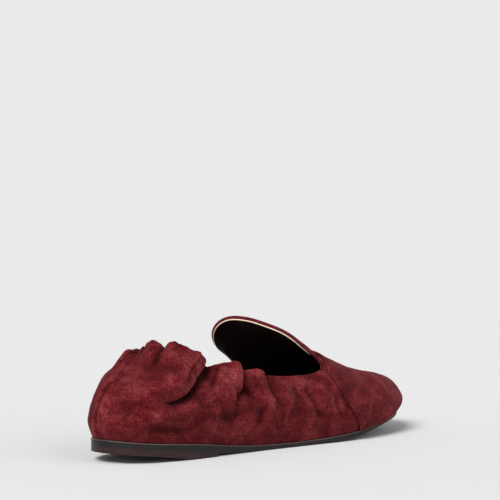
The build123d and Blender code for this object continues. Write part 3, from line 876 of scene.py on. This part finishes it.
def build_vamp():
    u, v = uv_block(VAMP_EDGE_LATERAL, VAMP_EDGE_MEDIAL, VAMP_ROWS, VAMP_COLUMNS)
    point, normal = base_frame(u, v)
    x, y, z = point[..., 0], point[..., 1], point[..., 2]
    t = np.linspace(0, 1, VAMP_ROWS)[:, None]
    lift = np.full_like(x, VAMP_LIFT)
    # the toe tucks in above the sole
    lift -= TOE_TUCK * smooth(200, 240, x) * (1 - smooth(0.5, 8, z - sole_top(x)))
    lift -= TOE_DROP * smooth(214, 246, x) * smooth(19, 31, z)
    lift -= 1.0 * smooth(0.45, 0.95, t)
    # toe puff edge, and the slight hollow behind it
    ridge = x - (203 - 0.006 * (y - 3) ** 2)
    lift += 0.35 * smooth(-5, 1.5, ridge) - 0.35 * smooth(2, 14, ridge)
    lift += 0.4 * noise(x / 17 + 2, y / 12, 31) * smooth(0, 0.15, t) + 0.12 * noise(x / 5, y / 5, 32)
    # the stitch rows sink into the suede, and the band between them is drawn up in small ribs
    distance, travelled = edge_measures(point)
    for row_offset in STITCH_ROWS:
        lift -= 0.32 * bump(distance - row_offset, 0.5)
    middle = (STITCH_ROWS[0] + STITCH_ROWS[1]) / 2
    ribs = 0.5 + 0.5 * np.cos(2 * math.pi * travelled / STITCH_PITCH)
    lift += (0.15 + 0.3 * ribs) * bump(distance - middle, 1.0)
    lift += 0.6 * bump(distance - 0.3, 1.2)
    outer = drop_to_sole(point + normal * lift[..., None], 12)
    vamp = plain_shell("vamp", outer, VAMP_THICKNESS, [SUEDE_SKIN], relief=relief_of(lift))
    place(vamp, "suede", "vamp")
    inside = slice(VAMP_EDGE_INSET, VAMP_COLUMNS - VAMP_EDGE_INSET)
    below_edge = VAMP_ROWS - 10
    skin = surface_normals(outer)
    band("vamp_backer", "backer", outer, skin, 1.4, 0.35, WHITE_STOCK, slice(6, below_edge), inside)
    band("toe_puff", "stiffener", outer, skin, 1.8, 0.6, WHITE_STOCK, slice(4, VAMP_ROWS // 2),
         slice(VAMP_COLUMNS // 4, VAMP_COLUMNS * 3 // 4))
    band("vamp_lining", "lining_leather", outer, skin, 2.5, LINING_THICKNESS, LINING_SKIN,
         slice(4, below_edge), inside)
    build_stitches(outer, distance, travelled)


def vamp_edge_line(count):
    """The vamp's rear edge as one line: up the outer side, over the instep, down the inner side."""
    up = curve(np.array(VAMP_EDGE_LATERAL, float), np.linspace(0, 1, count))
    down = curve(np.array(VAMP_EDGE_MEDIAL, float), np.linspace(1, 0, count))
    top = up[-1] + (down[0] - up[-1]) * np.linspace(0, 1, count)[1:-1, None]
    return np.concatenate([up, top, down])


def edge_measures(point):
    """Distance from every point of the vamp to its rear edge, and how far along the edge that is."""
    line = vamp_edge_line(VAMP_EDGE_STEPS)
    edge = raw_upper(line[:, 0], line[:, 1])
    steps = np.linalg.norm(np.diff(edge, axis=0), axis=1)
    lengths = np.concatenate([[0], np.cumsum(steps)])
    flat = point.reshape(-1, 3)
    best = np.full(len(flat), 1e9)
    along = np.zeros(len(flat))
    for i in range(len(edge) - 1):
        step = edge[i + 1] - edge[i]
        t = np.clip(((flat - edge[i]) @ step) / steps[i] ** 2, 0, 1)
        distance = np.linalg.norm(flat - (edge[i] + t[:, None] * step), axis=1)
        closer = distance < best
        best = np.where(closer, distance, best)
        along = np.where(closer, lengths[i] + t * steps[i], along)
    return best.reshape(point.shape[:2]), along.reshape(point.shape[:2])


def build_tongue():
    left = [(a + TONGUE_GAP, b) for a, b in QUARTER_FRONT_LATERAL]
    right = [(a - TONGUE_GAP, b) for a, b in QUARTER_FRONT_MEDIAL]
    u, v = uv_block(left, right, TONGUE_ROWS, TONGUE_COLUMNS, TONGUE_LOW, 1.0)
    point = raw_upper(u, v)
    t = np.linspace(0, 1, TONGUE_ROWS)[:, None]
    # beside the throat the columns would fold over themselves, so they are drawn straight to the edge there
    start = int(TONGUE_ROWS * 0.42)
    rise = ((t[start:] - t[start]) / (1 - t[start]))[..., None]
    straight = point[start] + (point[-1] - point[start]) * rise
    beside = (1 - smooth(7.0, 8.0, u[-1]) * (1 - smooth(12.4, 13.2, u[-1])))[:, None]
    point[start:] += (straight - point[start:]) * beside
    normal = surface_normals(point)
    x, y = point[..., 0], point[..., 1]
    lift = 0.3 * noise(x / 15, y / 11, 41) + 0.35 * smooth(0.9, 0.98, t) - 0.3 * bump(t - 0.87, 0.025)
    lift -= 0.7 * (1 - smooth(0.8, 0.92, v))
    outer = point + normal * lift[..., None]
    outer[..., 2] += (2.4 * bump(u - 7.8, 1.1) + 2.4 * bump(u - 10.0, 1.2)) * smooth(0.78, 1.0, v)
    tongue = plain_shell("tongue", outer, TONGUE_THICKNESS, [SUEDE_SKIN, RIM_SUEDE], 14, True,
                         relief_of(lift), normal)
    place(tongue, "suede", "tongue")
    inner = outer - normal * (TONGUE_THICKNESS + 0.05)
    lining = plain_shell("tongue_lining", inner, LINING_THICKNESS, [LINING_SKIN, RAW_EDGE], 3,
                         normal=normal)
    place(lining, "lining_leather", "tongue_lining")


def stitch_capsule(centre, direction, normal, length, radius):
    """Points and faces of one short, slightly arched stitch."""
    rings, sides = 7, 8
    side = unit(np.cross(direction, normal))
    points, faces = [], []
    for i in range(rings):
        t = i / (rings - 1)
        across = radius * math.sqrt(max(0.06, 1 - (2 * t - 1) ** 4))
        arch = radius * (1.1 * math.sin(math.pi * t) - 0.55)
        middle = centre + direction * length * (t - 0.5) + normal * arch
        for k in range(sides):
            angle = 2 * math.pi * k / sides
            points.append(middle + side * across * math.cos(angle) + normal * across * math.sin(angle))
    for i in range(rings - 1):
        for k in range(sides):
            a, b = i * sides + k, i * sides + (k + 1) % sides
            faces.append((a, b, b + sides, a + sides))
    faces.append(tuple(range(sides))[::-1])
    faces.append(tuple(range((rings - 1) * sides, rings * sides)))
    return points, faces


def build_stitches(outer, distance, travelled):
    """Two rows of stitches along the vamp's edge."""
    rng = random.Random(7)
    normal = surface_normals(outer)
    points, faces = [], []
    for offset in STITCH_ROWS:
        near = abs(distance - offset) < 0.35
        places, lengths, normals = outer[near], travelled[near], normal[near]
        order = np.argsort(lengths)
        places, lengths, normals = places[order], lengths[order], normals[order]
        track = np.arange(STITCH_PITCH * 2, lengths[-1] - STITCH_PITCH, STITCH_PITCH)
        centres = []
        for d in track:
            picked = abs(lengths - d) < 0.8
            centres.append((places[picked].mean(0), unit(normals[picked].mean(0))))
        for i, (centre, up) in enumerate(centres[1:-1], 1):
            direction = unit(centres[i + 1][0] - centres[i - 1][0])
            centre = centre + direction * rng.uniform(-0.12, 0.12) + up * 0.1
            new_points, new_faces = stitch_capsule(centre, direction, up, STITCH_LENGTH, STITCH_RADIUS)
            start = len(points)
            points.extend(new_points)
            faces.extend(tuple(index + start for index in face) for face in new_faces)
    stitches = add_mesh("vamp_stitches", to_row(points), faces, THREAD)
    place(stitches, "suede")


# ---------------------------------------------------------------------------
# Stage, light and camera
# ---------------------------------------------------------------------------
CAMERA_PLACE = (-451.0, -551.1, 99.0)       # shoe frame, millimetres
CAMERA_YAW = 45.8          # from +Y towards +X, degrees
CAMERA_RISE = 1.2
CAMERA_LENS = 95.05


def build_camera():
    data = bpy.data.cameras.new("camera")
    data.lens = CAMERA_LENS
    data.sensor_width = 36.0
    data.clip_start = 0.01
    data.clip_end = 60.0
    camera = bpy.data.objects.new("camera", data)
    bpy.context.scene.collection.objects.link(camera)
    camera.location = Vector(to_row(CAMERA_PLACE))
    camera.rotation_euler = (math.radians(90 + CAMERA_RISE), 0, -math.radians(CAMERA_YAW))
    bpy.context.scene.camera = camera


def sun_light(name, towards, softness, power):
    """Broad distant light that shines from the given direction."""
    data = bpy.data.lights.new(name, "SUN")
    data.angle = math.radians(softness)
    data.energy = power
    light = bpy.data.objects.new(name, data)
    bpy.context.scene.collection.objects.link(light)
    light.rotation_euler = Vector(towards).to_track_quat("Z", "Y").to_euler()


PALE = 0.83                # brightness of the studio's paper at the horizon
SKY_TOP = 0.3
FLOOR_TONE = 0.665
FLOOR_REACH = 40.0
KEY_LIGHT = ((-0.9, -0.3, 0.85), 30, 3.5)   # where from, softness in degrees, power
FILL_LIGHT = ((0.15, -0.9, 0.42), 60, 0.9)


def build_stage():
    world = bpy.data.worlds.new("studio")
    world.use_nodes = True
    tree = world.node_tree
    background = tree.nodes["Background"]
    direction = tree.nodes.new("ShaderNodeTexCoord")
    split = tree.nodes.new("ShaderNodeSeparateXYZ")
    fade = tree.nodes.new("ShaderNodeValToRGB")
    tree.links.new(direction.outputs["Generated"], split.inputs["Vector"])
    tree.links.new(split.outputs["Z"], fade.inputs["Fac"])
    tree.links.new(fade.outputs["Color"], background.inputs["Color"])
    low, high = fade.color_ramp.elements
    low.position, low.color = 0.22, (PALE, PALE, PALE, 1)
    high.position, high.color = 0.5, (SKY_TOP, SKY_TOP, SKY_TOP, 1)
    background.inputs["Strength"].default_value = 1.0
    bpy.context.scene.world = world
    bpy.context.scene.view_settings.view_transform = "Standard"

    paper = Nodes("paper_floor")
    grain = paper.noise(40, 2)
    paper.link(paper.ramp(grain, (0.3, (FLOOR_TONE,) * 3), (0.7, (FLOOR_TONE + 0.004,) * 3)),
               paper.shader.inputs["Base Color"])
    paper.set(Roughness=0.95, Specular_IOR_Level=0.0)
    corners = [(x * FLOOR_REACH, y * FLOOR_REACH, 0) for x, y in ((-1, -1), (1, -1), (1, 1), (-1, 1))]
    floor = add_mesh("floor", corners, [(0, 1, 2, 3)], paper.material, False)

    sun_light("key", *KEY_LIGHT)
    sun_light("fill", *FILL_LIGHT)


build_camera()
dress_cad_nodes()
build_inner_parts(build_quarter("lateral_quarter", True), build_quarter("medial_quarter", False))
build_sole_bead()
build_vamp()
build_tongue()
build_stage()
